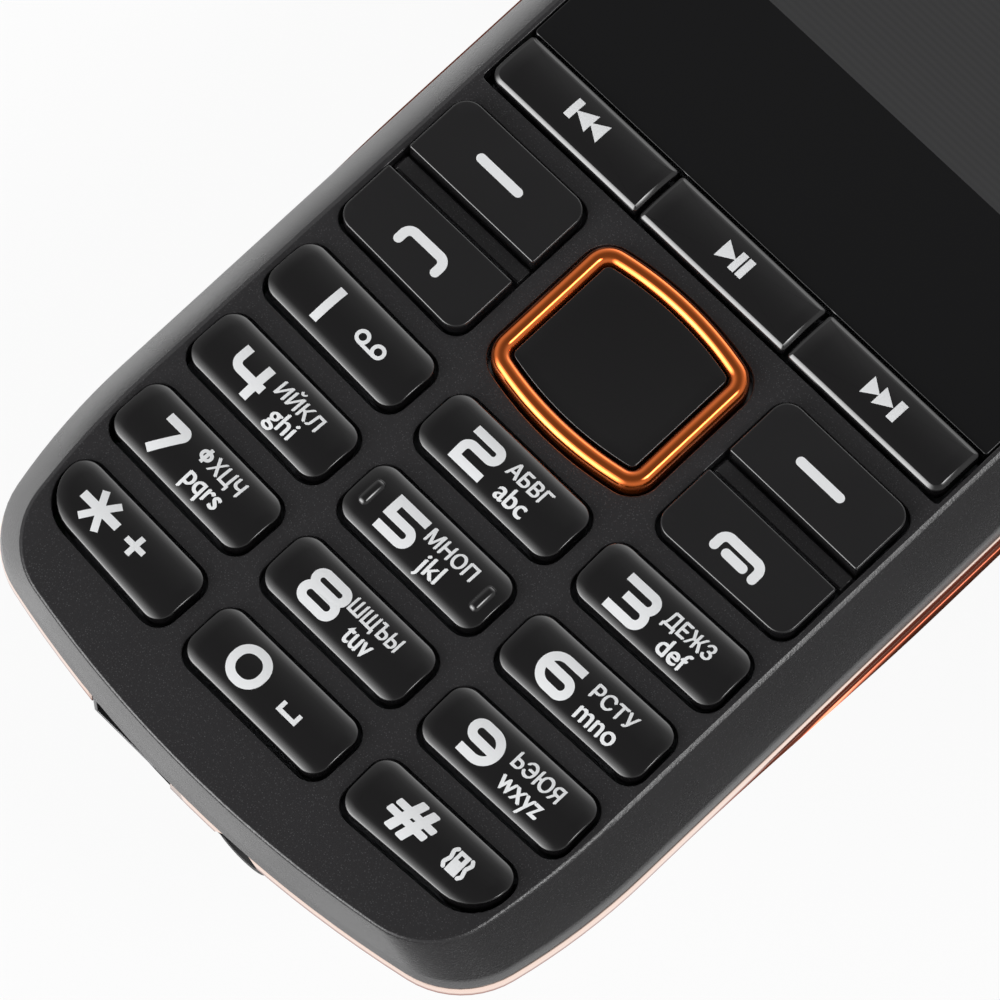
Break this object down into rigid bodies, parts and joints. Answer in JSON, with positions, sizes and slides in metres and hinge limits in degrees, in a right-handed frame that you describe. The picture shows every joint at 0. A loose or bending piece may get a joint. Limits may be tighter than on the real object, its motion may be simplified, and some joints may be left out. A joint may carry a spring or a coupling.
{
  "type": "feature phone",
  "caption": "Slim bar phone with a number pad, rocking orange navigation ring, display window, removable back cover and battery.",
  "frame": {"origin": "middle of the back face, under the centre of the phone's bounding box", "axes": "+X to the right side, +Y towards the display end, +Z out of the face with the keys; the phone lies on its back"},
  "size_m": [0.0482, 0.1142, 0.0134],
  "materials": {
    "casing_black": "matte black moulded plastic with a fine speckle",
    "frame_black": "plain black moulded plastic",
    "cover_black": "matte black moulded plastic",
    "window_black": "polished window printed black from behind",
    "orange_chrome": "copper orange plated plastic",
    "gloss_key": "glossy black cap with white legends",
    "satin_key": "satin black cap with white legends",
    "silicone_grey": "translucent grey silicone",
    "sheet_steel": "thin tinned steel",
    "contact_gold": "gold plated",
    "board_green": "green solder mask",
    "display_glass": "dark grey display cell",
    "foam_black": "black foam",
    "battery_can": "grey wrapped aluminium can",
    "antenna_plastic": "pale moulded carrier"
  },
  "bodies": {
    "casing": {"front_housing": "casing_black", "display_window": "window_black", "trim_band": "orange_chrome", "rear_housing": "frame_black", "keypad_mat": "silicone_grey", "dome_sheet": "sheet_steel", "main_board": "board_green", "shield_can": "sheet_steel", "display_module": "display_glass", "display_gasket": "foam_black", "sim_sockets": "sheet_steel", "memory_card_socket": "sheet_steel", "battery_contacts": "contact_gold", "usb_socket": "sheet_steel", "usb_tongue": "frame_black", "audio_socket": "frame_black", "microphone": "contact_gold", "loudspeaker": "frame_black", "earpiece": "frame_black", "earpiece_mesh": "sheet_steel", "vibration_motor": "sheet_steel", "camera_module": "frame_black", "antenna": "antenna_plastic", "case_screws": "sheet_steel"},
    "battery_cover": {"battery_cover": "cover_black", "camera_window": "window_black"},
    "battery": {"battery": "battery_can"},
    "nav_carrier": {"nav_carrier": "sheet_steel"},
    "nav_ring": {"nav_ring": "orange_chrome"},
    "vibration_weight": {"vibration_weight": "sheet_steel"},
    "key_1": {"key_1": "gloss_key"},
    "key_2": {"key_2": "gloss_key"},
    "key_3": {"key_3": "gloss_key"},
    "key_4": {"key_4": "gloss_key"},
    "key_5": {"key_5": "gloss_key"},
    "key_6": {"key_6": "gloss_key"},
    "key_7": {"key_7": "gloss_key"},
    "key_8": {"key_8": "gloss_key"},
    "key_9": {"key_9": "gloss_key"},
    "key_star": {"key_star": "gloss_key"},
    "key_0": {"key_0": "gloss_key"},
    "key_hash": {"key_hash": "gloss_key"},
    "softkey_left": {"softkey_left": "satin_key"},
    "softkey_right": {"softkey_right": "satin_key"},
    "call_key": {"call_key": "satin_key"},
    "end_key": {"end_key": "satin_key"},
    "media_key_previous": {"media_key_previous": "gloss_key"},
    "media_key_play": {"media_key_play": "gloss_key"},
    "media_key_next": {"media_key_next": "gloss_key"},
    "ok_key": {"ok_key": "gloss_key"}
  },
  "joints": [
    {"name": "press_key_1", "type": "slide", "parent": "casing", "child": "key_1", "axis": [0, 0, -1], "range_m": [0, 0.0003], "stiffness_N_per_m": 1000},
    {"name": "press_key_2", "type": "slide", "parent": "casing", "child": "key_2", "axis": [0, 0, -1], "range_m": [0, 0.0003], "stiffness_N_per_m": 1000},
    {"name": "press_key_3", "type": "slide", "parent": "casing", "child": "key_3", "axis": [0, 0, -1], "range_m": [0, 0.0003], "stiffness_N_per_m": 1000},
    {"name": "press_key_4", "type": "slide", "parent": "casing", "child": "key_4", "axis": [0, 0, -1], "range_m": [0, 0.0003], "stiffness_N_per_m": 1000},
    {"name": "press_key_5", "type": "slide", "parent": "casing", "child": "key_5", "axis": [0, 0, -1], "range_m": [0, 0.0003], "stiffness_N_per_m": 1000},
    {"name": "press_key_6", "type": "slide", "parent": "casing", "child": "key_6", "axis": [0, 0, -1], "range_m": [0, 0.0003], "stiffness_N_per_m": 1000},
    {"name": "press_key_7", "type": "slide", "parent": "casing", "child": "key_7", "axis": [0, 0, -1], "range_m": [0, 0.0003], "stiffness_N_per_m": 1000},
    {"name": "press_key_8", "type": "slide", "parent": "casing", "child": "key_8", "axis": [0, 0, -1], "range_m": [0, 0.0003], "stiffness_N_per_m": 1000},
    {"name": "press_key_9", "type": "slide", "parent": "casing", "child": "key_9", "axis": [0, 0, -1], "range_m": [0, 0.0003], "stiffness_N_per_m": 1000},
    {"name": "press_key_star", "type": "slide", "parent": "casing", "child": "key_star", "axis": [0, 0, -1], "range_m": [0, 0.0003], "stiffness_N_per_m": 1000},
    {"name": "press_key_0", "type": "slide", "parent": "casing", "child": "key_0", "axis": [0, 0, -1], "range_m": [0, 0.0003], "stiffness_N_per_m": 1000},
    {"name": "press_key_hash", "type": "slide", "parent": "casing", "child": "key_hash", "axis": [0, 0, -1], "range_m": [0, 0.0003], "stiffness_N_per_m": 1000},
    {"name": "press_softkey_left", "type": "slide", "parent": "casing", "child": "softkey_left", "axis": [0, 0, -1], "range_m": [0, 0.0003], "stiffness_N_per_m": 1000},
    {"name": "press_softkey_right", "type": "slide", "parent": "casing", "child": "softkey_right", "axis": [0, 0, -1], "range_m": [0, 0.0003], "stiffness_N_per_m": 1000},
    {"name": "press_call_key", "type": "slide", "parent": "casing", "child": "call_key", "axis": [0, 0, -1], "range_m": [0, 0.0003], "stiffness_N_per_m": 1000},
    {"name": "press_end_key", "type": "slide", "parent": "casing", "child": "end_key", "axis": [0, 0, -1], "range_m": [0, 0.0003], "stiffness_N_per_m": 1000},
    {"name": "press_media_key_previous", "type": "slide", "parent": "casing", "child": "media_key_previous", "axis": [0, 0, -1], "range_m": [0, 0.0003], "stiffness_N_per_m": 1000},
    {"name": "press_media_key_play", "type": "slide", "parent": "casing", "child": "media_key_play", "axis": [0, 0, -1], "range_m": [0, 0.0003], "stiffness_N_per_m": 1000},
    {"name": "press_media_key_next", "type": "slide", "parent": "casing", "child": "media_key_next", "axis": [0, 0, -1], "range_m": [0, 0.0003], "stiffness_N_per_m": 1000},
    {"name": "press_ok_key", "type": "slide", "parent": "casing", "child": "ok_key", "axis": [0, 0, -1], "range_m": [0, 0.0003], "stiffness_N_per_m": 1000},
    {"name": "nav_rock_up_down", "type": "hinge", "parent": "casing", "child": "nav_carrier", "pos_m": [0, -0.01834, 0.01], "axis": [1, 0, 0], "range_deg": [-1.2, 1.2], "stiffness_Nm_per_rad": 0.3},
    {"name": "nav_rock_sideways", "type": "hinge", "parent": "nav_carrier", "child": "nav_ring", "pos_m": [0, -0.01834, 0.01], "axis": [0, 1, 0], "range_deg": [-1.2, 1.2], "stiffness_Nm_per_rad": 0.3},
    {"name": "cover_off", "type": "slide", "parent": "casing", "child": "battery_cover", "axis": [0, 0, -1], "range_m": [0, 0.02]},
    {"name": "battery_out", "type": "slide", "parent": "casing", "child": "battery", "axis": [0, 0, -1], "range_m": [0, 0.01]},
    {"name": "weight_spin", "type": "hinge", "parent": "casing", "child": "vibration_weight", "pos_m": [0.014, 0.03425, 0.00385], "axis": [1, 0, 0], "continuous": true}
  ],
  "couplings": [
    {"joint": "battery_out", "follows": "cover_off", "ratio": 0.5}
  ]
}
